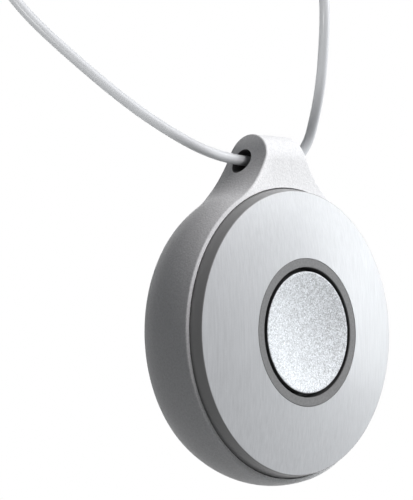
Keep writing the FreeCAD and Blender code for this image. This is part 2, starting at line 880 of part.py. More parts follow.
def board_box(label, x, z, wide, high, tall):
    """A small package on the board's front, centred at (x, z)."""
    box = doc.addObject("Part::Box", label)
    box.Label = label
    bind(box, "Length", wide)
    bind(box, "Width", tall)
    bind(box, "Height", high)
    bind(box, "Placement.Base.x", x - wide / 2)
    bind(box, "Placement.Base.y", board_front - tall)
    bind(box, "Placement.Base.z", z - high / 2)
    return box


def group(label, items):
    """Several like pieces under one label."""
    item = doc.addObject("Part::Compound", label)
    item.Label = label
    item.Links = items
    return item


def make_small_components():
    """Chip resistors and capacitors: two columns beside the switch and a row below it."""
    length, width, height = size.passive_length, size.passive_width, size.passive_height
    chips = []
    for column in range(2):
        for row in range(-1, 2):
            label = f"column_component_{len(chips) + 1}"
            x = size.passive_aside + column * size.passive_pitch
            chips.append(board_box(label, x, row * size.passive_row, width, length, height))
    for place in range(6):
        label = f"row_component_{place + 1}"
        x = (place - 2.5) * size.passive_spacing
        chips.append(board_box(label, x, -size.passive_drop, length, width, height))
    return group("small_components", chips)


def make_aerial():
    """A wire arch that stands off the board's front face on its two ends."""
    item = part_body("aerial")
    level = board_front - size.aerial_lift
    section = sketch_on(item, "section", "YZ_Plane")
    ring(section, level, size.aerial_radius, size.aerial_wire / 2)
    arch = item.newObject("PartDesign::Revolution", "aerial_arch")
    arch.Profile = section
    arch.ReferenceAxis = (section, ["H_Axis"])
    arch.Angle = 180
    arch.Midplane = True
    feet = across(item, "feet", board_front)
    ring(feet, size.aerial_radius, 0, size.aerial_wire / 2)
    ring(feet, -size.aerial_radius, 0, size.aerial_wire / 2)
    extruded(item, "legs", feet, size.aerial_lift)
    return item


def make_coin_cell():
    item = part_body("coin_cell")
    step = cell_front + size.cell_step
    turned(item, "can", [
        (0, cell_front),
        (size.cell_step_radius, cell_front),
        (size.cell_step_radius, step),
        (size.cell_radius - size.cell_round, step),
        (size.cell_radius, step + size.cell_round, size.cell_round),
        (size.cell_radius, cell_back - size.cell_round),
        (size.cell_radius - size.cell_round, cell_back, size.cell_round),
        (0, cell_back),
    ])
    return item


def make_positive_clip():
    item = part_body("positive_clip")
    inner = size.cell_radius + size.clip_gap
    outer = inner + size.clip_thickness
    foot = outer + size.clip_foot
    low = board_back + size.clip_thickness
    strip = sketch_on(item, "strip", "XY_Plane")
    outline(strip, [
        (-foot, board_back), (-inner, board_back), (-inner, cell_back), (inner, cell_back),
        (inner, board_back), (foot, board_back), (foot, low), (outer, low),
        (outer, clip_back), (-outer, clip_back), (-outer, low), (-foot, low),
    ])
    both_ways(item, "bent_strip", strip, size.clip_width)
    return item


def make_negative_contact():
    item = part_body("negative_contact")
    land = size.contact_radius - size.contact_land
    turned(item, "dish", [
        (size.contact_hole, cell_front - size.contact_thickness),
        (land, board_back),
        (size.contact_radius, board_back),
        (size.contact_radius, board_back + size.contact_thickness),
        (land, board_back + size.contact_thickness),
        (size.contact_hole, cell_front),
    ])
    return item


def make_rear_cover():
    item = part_body("rear_cover")
    groove_floor = spigot_radius - size.seal_groove_depth
    groove_back = door_inner - size.seal_groove_setback
    groove_front = groove_back - size.seal_groove
    disc = turned(item, "disc", [
        (0, 0),
        (0, door_inner),
        (spigot_inner, door_inner),
        (spigot_inner, spigot_end),
        (spigot_radius, spigot_end),
        (spigot_radius, groove_front),
        (groove_floor, groove_front),
        (groove_floor, groove_back),
        (spigot_radius, groove_back),
        (spigot_radius, door_inner),
        (size.door_radius, door_inner),
        (size.door_radius, 0),
    ])

    def back_edge(edge):
        return circular(edge, Size.of(0), size.door_radius)

    rounded(item, "edge", disc, back_edge, size.door_edge, "Chamfer")
    half = size.door_rib / 2
    end = size.door_rib_length / 2
    rib_height = door_inner - (clip_back + size.door_rib_gap)
    for name, side in (("left_rib", -1), ("right_rib", 1)):
        web = across(item, name, door_inner)
        middle = side * size.door_rib_spacing
        rectangle(web, middle - half, middle + half, -end, end)
        extruded(item, name + "_pad", web, rib_height)
    tab = across(item, "cell_guide", door_inner)
    near_cell = size.cell_radius + size.guide_gap
    reach = size.guide_width / 2
    rectangle(tab, -reach, reach, near_cell, near_cell + size.guide_wall)
    guide = extruded(item, "cell_guide_pad", tab, size.guide_reach)
    around(item, "cell_guides", [guide], 2)
    sink = size.screw_head + size.screw_head_sink
    for name, radius, depth in (
        ("head_recess", size.screw_head_radius + size.screw_head_fit, sink),
        ("screw_hole", size.screw_radius + size.screw_head_fit, size.door_thickness),
    ):
        spot = across(item, name, Size.of(0))
        ring(spot, 0, -size.door_screw_circle, radius)
        drill = extruded(item, name + "_cut", spot, depth, "Pocket", True)
        around(item, name + "s", [drill], SCREW_COUNT)
    return item


def make_rear_seal():
    item = doc.addObject("Part::Torus", "rear_seal")
    item.Label = "rear_seal"
    groove_middle = door_inner - size.seal_groove_setback - size.seal_groove / 2
    groove_floor = spigot_radius - size.seal_groove_depth
    bind(item, "Radius1", (groove_floor + size.bore_radius) / 2)
    bind(item, "Radius2", size.seal_ring_section / 2)
    item.Placement.Rotation = FreeCAD.Rotation(FreeCAD.Vector(1, 0, 0), 90)
    bind(item, "Placement.Base.y", groove_middle)
    return item


def make_screws(label, circle_radius, under_head, backwards, sign):
    """Three cross-slot screws. Their heads point to the front, or to the back if asked."""
    item = part_body(label)
    item.AllowCompound = True
    head_end = under_head + size.screw_head if backwards else under_head - size.screw_head
    place = sign * circle_radius
    head = across(item, "head", under_head)
    ring(head, 0, place, size.screw_head_radius)
    head_pad = extruded(item, "head_pad", head, size.screw_head, "Pad", backwards)
    shank = across(item, "shank", under_head)
    ring(shank, 0, place, size.screw_radius)
    shank_pad = extruded(item, "shank_pad", shank, size.screw_length, "Pad", not backwards)
    features = [head_pad, shank_pad]
    thin = size.screw_slot / 2
    long = size.screw_slot_length / 2
    for name, wide, high in (("slot_level", long, thin), ("slot_upright", thin, long)):
        slot = across(item, name, head_end)
        rectangle(slot, -wide, wide, place - high, place + high)
        cut = extruded(item, name + "_cut", slot, size.screw_slot_depth, "Pocket", backwards)
        features.append(cut)
    around(item, "copies", features, SCREW_COUNT)
    return item


def make_coil():
    item = doc.addObject("Part::Torus", "cord_coil")
    item.Label = "cord_coil"
    bind(item, "Radius1", size.coil_radius)
    bind(item, "Radius2", size.coil_section_radius)
    item.Placement.Rotation = FreeCAD.Rotation(FreeCAD.Vector(1, 0, 0), 90)
    bind(item, "Placement.Base.x", size.coil_aside)
    bind(item, "Placement.Base.y", size.coil_setback)
    bind(item, "Placement.Base.z", size.coil_height)
    return item


# The clasp lies behind the coil's top, and the tie goes round both.
clasp_setback = size.coil_setback + size.coil_section_radius + size.clasp_gap + size.clasp_radius
bundle_height = size.coil_height + size.coil_radius


def belt(sketch, extra):
    """An outline round the coil's section and the clasp, this far outside both."""
    big = size.coil_section_radius + extra
    small = size.clasp_radius + extra
    span = clasp_setback - size.coil_setback
    lean = (big - small) / span
    upright = (1 - lean * lean).root()
    near_y = size.coil_setback + big * lean
    far_y = clasp_setback + small * lean
    outline(sketch, [
        (far_y, bundle_height - small * upright),
        (clasp_setback + small, bundle_height, small),
        (far_y, bundle_height + small * upright, small),
        (near_y, bundle_height + big * upright),
        (size.coil_setback, bundle_height + big, big),
        (size.coil_setback - big, bundle_height, big),
        (size.coil_setback, bundle_height - big, big),
        (near_y, bundle_height - big * upright, big),
    ])


def make_tie():
    item = part_body("coil_tie")
    loop = sketch_on(item, "loop", "YZ_Plane")
    belt(loop, size.tie_fit + size.tie_thickness)
    belt(loop, size.tie_fit)
    both_ways(item, "band", loop, size.tie_width)
    bind(item, "Placement.Base.x", size.coil_aside)
    return item


def clasp_half(label, corners):
    """A clasp half is turned about its own length, then set behind the coil's top."""
    item = part_body(label)
    turned(item, "body", corners, axis="H_Axis")
    bind(item, "Placement.Base.x", size.coil_aside)
    bind(item, "Placement.Base.y", clasp_setback)
    bind(item, "Placement.Base.z", bundle_height)
    return item


def make_clasp():
    outer = size.clasp_radius
    soft = size.clasp_round
    end = size.clasp_half
    cord_hole = size.cord_diameter / 2 + size.clasp_cord_fit
    socket_floor = size.clasp_probe + size.clasp_fit
    socket_radius = size.clasp_probe_radius + size.clasp_fit
    stop = socket_floor + size.clasp_wall
    socket = clasp_half("clasp_socket", [
        (0, socket_radius),
        (socket_floor, socket_radius),
        (socket_floor, 0),
        (stop, 0),
        (stop, cord_hole),
        (end, cord_hole),
        (end, outer - soft),
        (end - soft, outer, soft),
        (0, outer),
    ])
    plug = clasp_half("clasp_plug", [
        (size.clasp_probe, 0),
        (size.clasp_probe, size.clasp_probe_radius),
        (0, size.clasp_probe_radius),
        (0, outer),
        (soft - end, outer),
        (-end, outer - soft, soft),
        (-end, cord_hole),
        (-stop, cord_hole),
        (-stop, 0),
    ])
    return [socket, plug]


def cord_path(points):
    """Straight runs joined by tangent arcs, each as large as its runs allow."""
    edges = []
    radii = []
    start = points[0]
    for before, corner, after in zip(points, points[1:], points[2:]):
        back = before - corner
        ahead = after - corner
        turn = math.pi - back.getAngle(ahead)
        reach = ARC_SHARE * min(back.Length, ahead.Length)
        radii.append(reach / math.tan(turn / 2))
        first = corner + back.normalize() * reach
        last = corner + ahead.normalize() * reach
        bow = (back + ahead).normalize()
        depth = radii[-1] * (1 / math.cos(turn / 2) - 1)
        edges.append(Part.LineSegment(start, first).toShape())
        edges.append(Part.Arc(first, corner + bow * depth, last).toShape())
        start = last
    edges.append(Part.LineSegment(start, points[-1]).toShape())
    return Part.Wire(edges), radii


def make_neck_cord():
    """One cord through the eye. Both strands rise to the coil."""
    eye = FreeCAD.Vector(0, ledge.value + sheet.eye_setback, sheet.eye_height)
    right = [eye + FreeCAD.Vector(*point) for point in RIGHT_ROUTE]
    left = [eye + FreeCAD.Vector(*point) for point in LEFT_ROUTE]
    path, radii = cord_path(left[::-1] + right)
    radius = sheet.cord_diameter / 2
    start = path.Edges[0]
    section = Part.makeCircle(radius, left[-1], start.tangentAt(start.FirstParameter))
    item = doc.addObject("Part::Feature", "neck_cord")
    item.Label = "neck_cord"
    item.Shape = path.makePipeShell([Part.Wire(section)], True, True)
    print("cord arcs from", round(min(radii), 1), "to", round(max(radii), 1), "mm radius")
    swept = item.Shape.Volume / (math.pi * radius * radius * path.Length)
    print("cord length", round(path.Length, 1), "mm, volume against section times length", round(swept, 4))
    return item


def make_parts():
    parts = [
        make_housing(),
        make_front_cover(),
        make_bezel_ring(),
        make_button_cap(),
        make_button_seal(),
        make_seal_clamp(),
        make_circuit_board(),
        make_switch_body(),
        make_switch_stem(),
        make_switch_dome(),
        make_controller_chip(),
        board_box("radio_module", Size.of(0), -size.radio_drop, size.radio_width,
                  size.radio_length, size.radio_height),
        board_box("resonator", -size.resonator_aside, -size.resonator_drop, size.resonator_width,
                  size.resonator_length, size.resonator_height),
        make_small_components(),
        make_aerial(),
        make_coin_cell(),
        make_positive_clip(),
        make_negative_contact(),
        make_rear_seal(),
        make_rear_cover(),
        make_screws("rear_cover_screws", size.door_screw_circle,
                    -(size.screw_head + size.screw_head_sink), True, -1),
        make_screws("board_screws", size.board_screw_circle, board_front, False, 1),
        make_neck_cord(),
        make_coil(),
        make_tie(),
    ]
    return parts + make_clasp()


parts = make_parts()
doc.recompute()

for item in doc.Objects:
    if "Invalid" in item.State or "Error" in item.State:
        raise RuntimeError(f"{item.Name} did not build: {item.State}")
for item in parts:
    if item.Shape.isNull() or not item.Shape.isValid():
        raise RuntimeError(f"{item.Label} has no valid shape")

os.makedirs("parts", exist_ok=True)
for item in parts:
    item.Shape.exportStep(f"parts/{item.Label}.step")
    box = item.Shape.BoundBox
    print(f"{item.Label}: {len(item.Shape.Solids)} solids, {item.Shape.Volume:.1f} mm3,",
          f"x {box.XMin:.2f}..{box.XMax:.2f} y {box.YMin:.2f}..{box.YMax:.2f} z {box.ZMin:.2f}..{box.ZMax:.2f}")
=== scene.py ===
# %% [markdown]
# # A wireless panic button on its neck cord
# A pendant alarm button: a round moulded housing with a cord lug, a domed front cover, a matt
# ring and a dished metallic push button. Its cord runs through the lug, and a small breakaway
# clasp joins the cord's ends behind the wearer's neck. The rigid pieces come from the packed
# CAD frame, so they are already the right size and in the right place. This lesson gives them
# their finishes, winds the cord as one smooth line, and lights the pendant from the right, so
# that its dome, its bulged side and its dished button each shade in their own way.

# %% Load the frame
import math
import bmesh
import bpy
from mathutils import Matrix, Vector


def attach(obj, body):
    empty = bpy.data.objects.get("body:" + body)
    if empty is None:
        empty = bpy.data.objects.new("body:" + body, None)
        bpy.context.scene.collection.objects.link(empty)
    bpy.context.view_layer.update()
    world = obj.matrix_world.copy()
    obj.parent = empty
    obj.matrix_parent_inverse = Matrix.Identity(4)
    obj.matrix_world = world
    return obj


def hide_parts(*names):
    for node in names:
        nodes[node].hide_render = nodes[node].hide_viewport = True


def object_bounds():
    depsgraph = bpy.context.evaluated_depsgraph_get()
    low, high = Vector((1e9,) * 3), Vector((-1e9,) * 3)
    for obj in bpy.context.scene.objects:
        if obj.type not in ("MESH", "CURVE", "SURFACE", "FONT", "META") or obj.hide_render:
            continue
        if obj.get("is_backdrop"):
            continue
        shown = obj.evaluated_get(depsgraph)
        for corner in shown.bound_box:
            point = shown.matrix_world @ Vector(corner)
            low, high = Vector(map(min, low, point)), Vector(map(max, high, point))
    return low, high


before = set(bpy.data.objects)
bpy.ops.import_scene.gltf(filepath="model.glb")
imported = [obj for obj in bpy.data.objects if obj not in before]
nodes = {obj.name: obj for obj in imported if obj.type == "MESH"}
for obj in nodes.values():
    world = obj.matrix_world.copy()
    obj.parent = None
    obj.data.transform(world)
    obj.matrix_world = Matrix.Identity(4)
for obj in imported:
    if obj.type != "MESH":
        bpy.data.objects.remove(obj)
scene = bpy.context.scene
scene.view_settings.view_transform = "Standard"
cad_box = [list(corner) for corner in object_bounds()]


def in_millimetres(points):
    """Points in rounded millimetres, for printing."""
    return [[round(value * 1000, 1) for value in point] for point in points]


print("CAD box in millimetres:", in_millimetres(cad_box))

# %% [markdown]
# ## The camera
# The photograph looks at the pendant from its left and from a little below. Azimuth,
# elevation, roll, distance and scale were found by fitting the outlines of the disc, the ring
# and the lug. A camera looks along its own -Z axis, so its three axes are written down first
# and become the columns of its matrix. A long lens keeps the perspective as mild as it is there.

# %% Place the camera
azimuth, elevation, roll = (math.radians(angle) for angle in (-46.11, -2.76, -1.27))
distance = 0.260
photo_width, photo_height = 413, 500
pixels_per_metre = 7105
disc_pixel = (291.1, 332.7)
ledge_y = -0.0094

back = Vector((
    math.sin(azimuth) * math.cos(elevation),
    -math.cos(azimuth) * math.cos(elevation),
    math.sin(elevation),
))
level = Vector((0, 0, 1)).cross(back).normalized()
upright = back.cross(level)
right = level * math.cos(roll) + upright * math.sin(roll)
up = upright * math.cos(roll) - level * math.sin(roll)
aside = (disc_pixel[0] - photo_width / 2) / pixels_per_metre
above = (photo_height / 2 - disc_pixel[1]) / pixels_per_metre
eye_point = Vector((0, ledge_y, 0)) + back * distance - right * aside - up * above

camera_data = bpy.data.cameras.new("camera")
camera_data.sensor_width = 36
camera_data.lens = camera_data.sensor_width * pixels_per_metre * distance / photo_height
camera_data.clip_start = 0.01
camera = bpy.data.objects.new("camera", camera_data)
turn = Matrix((right, up, back)).transposed().to_4x4()
camera.matrix_world = Matrix.Translation(eye_point) @ turn
scene.collection.objects.link(camera)
scene.camera = camera
print("lens", round(camera_data.lens, 1), "mm, camera at", in_millimetres([eye_point])[0], "mm")

# %% [markdown]
# ## The neck cord
# The cord is one length of soft vinyl. It leaves one half of the clasp, goes round in the
# put-away coil, comes down one side, passes through the lug's eye, goes up the other side,
# goes round the coil again and ends in the clasp's other half. The loop could be left out and
# only the two strands shown, but a real neck cord is one piece, so it is drawn as one. The
# route beside the lug is given as steps from the eye, to follow the photograph.

# %% The cord's route beside the lug
cord_diameter = 0.0015
lug_eye = Vector((0, -0.0050, 0.02435))
right_route = [
    (0.0023, 0.0, 0.0),
    (0.0050, 0.0, 0.0),
    (0.0074, -0.0002, 0.0012),
    (0.0088, -0.0010, 0.0036),
    (0.0087, -0.0022, 0.0066),
    (0.0078, -0.0040, 0.0099),
    (0.0066, -0.0057, 0.0132),
    (0.0054, -0.0072, 0.0169),
    (0.0045, -0.0083, 0.0210),
    (0.0043, -0.0083, 0.0252),
    (0.0049, -0.0074, 0.0296),
    (0.0056, -0.0050, 0.0334),
    (0.0059, -0.0018, 0.0366),
    (0.0050, 0.0014, 0.0390),
    (0.0022, 0.0036, 0.0404),
    (-0.0022, 0.0046, 0.0409),
]
left_route = [
    (-0.0050, 0.0, 0.0),
    (-0.0099, 0.0015, 0.00105),
    (-0.0140, 0.0041, 0.00355),
    (-0.0194, 0.0073, 0.00765),
    (-0.0255, 0.0112, 0.01365),
    (-0.0310, 0.0148, 0.01965),
    (-0.0340, 0.0171, 0.02465),
    (-0.0352, 0.0173, 0.0298),
    (-0.0343, 0.0161, 0.0342),
    (-0.0306, 0.0136, 0.0377),
    (-0.0246, 0.0102, 0.0395),
    (-0.0170, 0.0074, 0.0401),
]
right_strand = [lug_eye + Vector(step) for step in right_route]
left_strand = [lug_eye + Vector(step) for step in left_route]
print(len(right_strand), "points right of the eye and", len(left_strand), "left of it")

# %% [markdown]
# ## The coil's turns
# In a coil of soft cord the turns nest like stacked pipes. Seen in a cut through the coil, each
# turn has a place in three rows, written as a step out from the coil's line and a step back.
# The cord keeps its place for most of a turn and slips over to the next one near the tie, at
# the top, within an eighth of a turn and gently at both ends. The later turns slip a little
# earlier, so that none slips into a place that another hasn't left yet. The strand that goes
# down ends on a front place and the strand that comes up starts on a middle one, so they pass
# where they meet. The turns repeat, so a loop writes their points.
#
# The cord will be a spline of order 3. Where such a spline passes a control point it takes 6/8
# of that point and 1/8 of each neighbour, so it runs inside a ring of points. Dividing the
# radius by that share puts the cord itself on the wanted radius.

# %% Wind the turns
coil_centre = Vector((-0.0080, 0.0011, 0.0756))
coil_radius = 0.0086
nest = 0.00152
row = nest * math.sqrt(3) / 2
steps_per_turn = 16
slip_reach = 0.125
bottom, top = 270, 90
spline_share = (6 + 2 * math.cos(2 * math.pi / steps_per_turn)) / 8
first_places = [
    (-1.0 * nest, row), (-1.5 * nest, 0), (-1.0 * nest, -row), (0, -row), (nest, -row),
]
last_places = [
    (1.5 * nest, 0), (0.5 * nest, 0), (-0.5 * nest, 0), (0, row), (nest, row),
]


def wound(places, first_angle, last_angle):
    """Control points of the turns, between two angles in degrees."""
    count = round((last_angle - first_angle) / 360 * steps_per_turn)
    first_lap = math.floor((first_angle - top) / 360)
    points = []
    for step in range(count + 1):
        angle = first_angle + (last_angle - first_angle) * step / count
        laps = (angle - top) / 360 - first_lap
        out, deep = places[0]
        for lap in range(1, len(places)):
            slip_middle = lap - slip_reach * (lap - len(places) / 2)
            slip = min(max((laps - slip_middle) / slip_reach + 0.5, 0), 1)
            eased = slip * slip * (3 - 2 * slip)
            out += (places[lap][0] - places[lap - 1][0]) * eased
            deep += (places[lap][1] - places[lap - 1][1]) * eased
        reach = (coil_radius + out) / spline_share
        turned = math.radians(angle)
        points.append(coil_centre + Vector((reach * math.cos(turned), deep, reach * math.sin(turned))))
    return points


down_turns = wound(first_places, bottom + 11, bottom + 4 * 360)
up_turns = wound(last_places, bottom - 360, 4 * 360)
print(len(down_turns) + len(up_turns), "points in the coil's turns")

# %% [markdown]
# ## From the coil to the clasp
# The clasp lies behind the coil's top. Each end of the cord leaves its half of the clasp
# straight out, turns back in a small loose bend and joins the coil. These few points are
# listed one by one, and each bend has a radius of more than two cord diameters, as soft vinyl
# allows.

# %% Join the cord's parts
plug_end = [Vector(point) for point in (
    (-0.0122, 0.0064, 0.0842), (-0.0149, 0.0064, 0.0842), (-0.0172, 0.0064, 0.0835),
    (-0.0189, 0.0064, 0.0818), (-0.0198, 0.0063, 0.0794), (-0.0200, 0.0061, 0.0767),
    (-0.0192, 0.0056, 0.0740), (-0.0177, 0.0049, 0.0719), (-0.0158, 0.0044, 0.0703),
    (-0.0137, 0.0041, 0.0692), (-0.0116, 0.0037, 0.0686), (-0.0091, 0.0030, 0.0684),
)]
socket_end = [Vector(point) for point in (
    (0.0025, 0.0027, 0.0784), (0.0028, 0.0037, 0.0808), (0.0022, 0.0049, 0.0826),
    (0.0008, 0.0059, 0.0838), (-0.0014, 0.0064, 0.0842), (-0.0040, 0.0064, 0.0842),
)]
cord_points = plug_end + down_turns + right_strand[::-1] + left_strand + up_turns + socket_end
print(len(cord_points), "points from one end of the cord to the other")

# %% [markdown]
# ## The cord as a bevelled curve
# A cord could be a long chain of cylinders or a swept mesh. A NURBS spline draws it as one
# smooth line from few points, and a round bevel gives it its thickness. A bevel depth of 1
# leaves the size to each point's radius, which Blender also adds to the curve's bounds.

# %% Draw the cord
cord_curve = bpy.data.curves.new("neck_cord_line", "CURVE")
cord_curve.dimensions = "3D"
cord_curve.bevel_depth = 1.0
cord_curve.bevel_resolution = 5
cord_curve.resolution_u = 8
cord_curve.use_fill_caps = True
spline = cord_curve.splines.new("NURBS")
spline.points.add(len(cord_points) - 1)
for control, point in zip(spline.points, cord_points):
    control.co = (*point, 1)
    control.radius = cord_diameter / 2
spline.order_u = 3
spline.use_endpoint_u = True
neck_cord = bpy.data.objects.new("neck_cord_line", cord_curve)
scene.collection.objects.link(neck_cord)
cord_length = spline.calc_length()

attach(neck_cord, "cord")
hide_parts("neck_cord", "cord_coil")
print("cord length", round(cord_length * 1000), "mm")

# %% [markdown]
# ## The dished button as a turned shape
# The real button is a moulded cap whose front is a shallow dish, lacquered so that every small
# fault in its curve would show. The dish could be sunk into a cylinder with a boolean, but its
# faces would be uneven and shade in blotches. A round shape like this is better drawn as half
# of its outline and turned round its axis, as on a lathe, in many narrow bands. Edges where the
# outline turns sharply stay crisp.

# %% Turn an outline into a mesh


def turned_piece(name, outline, sides=192, crisp_angle=28):
    """A mesh turned round the Y axis from (radius, y) points that start and end on the axis."""
    shape = bmesh.new()
    angles = [math.tau * side / sides for side in range(sides)]
    bands = []
    for radius, y in outline:
        if radius == 0:
            spots = [(0, y, 0)]
        else:
            spots = [(radius * math.cos(angle), y, radius * math.sin(angle)) for angle in angles]
        bands.append([shape.verts.new(spot) for spot in spots])
    for inner, outer in zip(bands, bands[1:]):
        for side in range(sides):
            after = (side + 1) % sides
            corners = [
                inner[side % len(inner)], inner[after % len(inner)],
                outer[after % len(outer)], outer[side % len(outer)],
            ]
            shape.faces.new(list(dict.fromkeys(corners)))
    bmesh.ops.recalc_face_normals(shape, faces=shape.faces)
    mesh = bpy.data.meshes.new(name)
    shape.to_mesh(mesh)
    shape.free()
    mesh.shade_smooth()
    mesh.set_sharp_from_angle(angle=math.radians(crisp_angle))
    piece = bpy.data.objects.new(name, mesh)
    scene.collection.objects.link(piece)
    return piece


print("the lathe is ready")

# %% [markdown]
# ## The button's outline
# The dish is an arc of a large sphere, so its rise at each radius follows from that sphere. A
# tiny quarter round closes the rim. Behind it come the flange that stops the cap behind the
# ring, the hollow that keeps the moulding's walls even, and the stem that presses the switch.

# %% Turn the button
face_y = -0.01262
button_radius = 0.00852
rim_round = 0.00012
dish_depth = 0.0009
flange_radius, flange_front, flange_back = 0.00945, -0.01042, -0.00992
hollow_radius, hollow_floor = 0.00732, -0.01087
stem_radius = 0.0016
dish_bands, rim_bands = 28, 6
dish_reach = button_radius - rim_round
dish_radius = (dish_reach ** 2 + dish_depth ** 2) / (2 * dish_depth)

dish = []
for band in range(dish_bands + 1):
    radius = dish_reach * band / dish_bands
    rise = dish_radius - math.sqrt(dish_radius ** 2 - radius ** 2)
    dish.append((radius, face_y + dish_depth - rise))
rim = []
for band in range(1, rim_bands + 1):
    angle = math.radians(90 * band / rim_bands)
    rim.append((dish_reach + rim_round * math.sin(angle), face_y + rim_round * (1 - math.cos(angle))))
underside = [
    (button_radius, flange_front), (flange_radius, flange_front), (flange_radius, flange_back),
    (hollow_radius, flange_back), (hollow_radius, hollow_floor), (stem_radius, hollow_floor),
    (stem_radius, flange_back), (0, flange_back),
]
button = turned_piece("button_turned", dish + rim + underside)
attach(button, "button")
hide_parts("button_cap")
print("button:", len(button.data.polygons), "faces, dish sphere", round(dish_radius * 1000, 1), "mm")

# %% [markdown]
# ## Shader maths as Python
# A finish is a small node tree. Wiring every Math node by hand hides the idea, so one class
# wraps a node's output and turns +, -, *, / and ** into Math nodes. The reflected forms make
# 1 - mask work as well as mask - 1. What varies over a surface then reads as a sum of noises
# and masks.

# %% A socket that can be added and multiplied


class Signal:
    """One output of a shader node, for use in sums and products."""

    def __init__(self, network, socket):
        self.network = network
        self.socket = socket

    def maths(self, operation, *values):
        return self.network.add("Math", {"operation": operation}, dict(enumerate(values)))

    def __add__(self, other):
        return self.maths("ADD", self, other)

    def __radd__(self, other):
        return self.maths("ADD", other, self)

    def __sub__(self, other):
        return self.maths("SUBTRACT", self, other)

    def __rsub__(self, other):
        return self.maths("SUBTRACT", other, self)

    def __mul__(self, other):
        return self.maths("MULTIPLY", self, other)

    def __rmul__(self, other):
        return self.maths("MULTIPLY", other, self)

    def __truediv__(self, other):
        return self.maths("DIVIDE", self, other)

    def __rtruediv__(self, other):
        return self.maths("DIVIDE", other, self)

    def __pow__(self, other):
        return self.maths("POWER", self, other)

    def __rpow__(self, other):
        return self.maths("POWER", other, self)

    def at_least(self, other):
        return self.maths("MAXIMUM", self, other)

    def clamped(self):
        """The same signal, kept between 0 and 1."""
        return self.network.add("Clamp", None, {0: self})


print("signals add, subtract, multiply and divide")

# %% [markdown]
# ## One method for every other node
# Noises, bumps and mixes are nodes too. Each could get a helper of its own, but they all need
# the same three steps: make the node, choose its settings, fill its inputs. One method does
# that from the node's type. The world's tree grows by it as well, so it has its own class.

# %% A tree that grows by one method


class Network:
    """A node tree that any node can be added to."""

    def __init__(self, tree):
        self.tree = tree

    def fill(self, socket, value):
        """Links a signal to a socket, or writes a plain value into it."""
        if isinstance(value, Signal):
            self.tree.links.new(value.socket, socket)
        else:
            socket.default_value = value

    def add(self, kind, settings=None, inputs=None, output=0):
        """Adds a node, makes its settings, fills its inputs and gives back one of its outputs."""
        node = self.tree.nodes.new("ShaderNode" + kind)
        for name, value in (settings or {}).items():
            setattr(node, name, value)
        for name, value in (inputs or {}).items():
            self.fill(node.inputs[name], value)
        return Signal(self, node.outputs[output])


print("networks can grow")

# %% [markdown]
# ## Finishes
# A finish is such a tree in a material with one Principled shader. What is the same all over
# the surface is set on that shader's own sockets, and what varies is fed into them. Everything
# that varies starts from the object's own coordinates, so a pattern keeps its real size and
# stays on its piece when the piece moves.

# %% The finish


class Finish(Network):
    """A material with one principled shader. Constants go straight to that shader's sockets."""

    def __init__(self, name, **constants):
        self.material = bpy.data.materials.new(name)
        self.material.use_nodes = True
        super().__init__(self.material.node_tree)
        self.shader = self.tree.nodes["Principled BSDF"]
        for socket, value in constants.items():
            self.feed(socket.replace("_", " "), value)
        self.place = self.add("TexCoord", output="Object")

    def feed(self, socket, value):
        self.fill(self.shader.inputs[socket], value)

    def along(self, axis):
        """The object's own coordinate along one axis, in metres."""
        return self.add("SeparateXYZ", None, {0: self.place}, axis)

    def from_line(self, first, second, line=(0, 0)):
        """The distance in metres, measured along two axes, from a line that runs along the third."""
        return ((self.along(first) - line[0]) ** 2 + (self.along(second) - line[1]) ** 2) ** 0.5

    def noise(self, size, detail=2, roughness=0.5, upright=1):
        """Cloudy noise from 0 to 1 with features of this size in metres. Upright below 1 draws it out."""
        place = self.place
        if upright != 1:
            place = self.add("Mapping", None, {"Vector": place, "Scale": (1, 1, upright)})
        inputs = {"Vector": place, "Scale": 1 / size, "Detail": detail, "Roughness": roughness}
        return self.add("TexNoise", None, inputs)

    def flecks(self, size):
        """One even random value from 0 to 1 for each small grain of about this size in metres."""
        cells = self.add("TexVoronoi", None, {"Vector": self.place, "Scale": 1 / size}, "Color")
        return self.add("SeparateColor", None, {0: cells})

    def mix(self, amount, first, second):
        """A colour between two colours."""
        inputs = {0: amount, 6: first, 7: second}
        return self.add("Mix", {"data_type": "RGBA"}, inputs, 2)

    def bumps(self, height, depth):
        """A surface normal from a height of 0 to 1 that stands for this depth in metres."""
        return self.add("Bump", None, {"Height": height, "Distance": depth, "Strength": 1.0})

    def onto(self, *objects):
        """Gives this finish to objects and their material slots."""
        for item in objects:
            item.data.materials.clear()
            item.data.materials.append(self.material)


print("finishes can be written")

# %% [markdown]
# ## Greys
# Nearly all of this pendant is grey. On a screen a grey is an sRGB value from 0 to 255, but a
# shader wants linear light, so a small function converts it. It can also tint the grey a little.

# %% Greys as on a screen


def shade(value, warmth=0.0):
    """A neutral colour from an sRGB grey of 0 to 255, a little warm or, below zero, cool."""
    grey = (value / 255) ** 2.2
    return (grey * (1 + warmth), grey, grey * (1 - warmth), 1)


print("middle grey is", round(shade(128)[1], 3), "in linear light")

# %% [markdown]
# ## Satin moulded plastic
# The housing, its covers and the ring are injection moulded in silver-grey plastic, pale but for
# the ring. Such a surface is never quite even: the resin flows in faint clouds, the steel mould
# leaves a very fine spark-eroded grain, and handling polishes it in places. Noises at those
# scales do it: for the colour, for the roughness and for the depth of the grain's pits. One
# helper makes all four, because they differ only in a few numbers. The front cover is brushed
# upright and then lacquered, so its finish adds a noise that is drawn out along Z, under a thin
# clear coat. The housing is the dullest of them and gets the lowest specular level, or its rear
# edge would shine like glass where it turns away.

# %% The moulded finishes


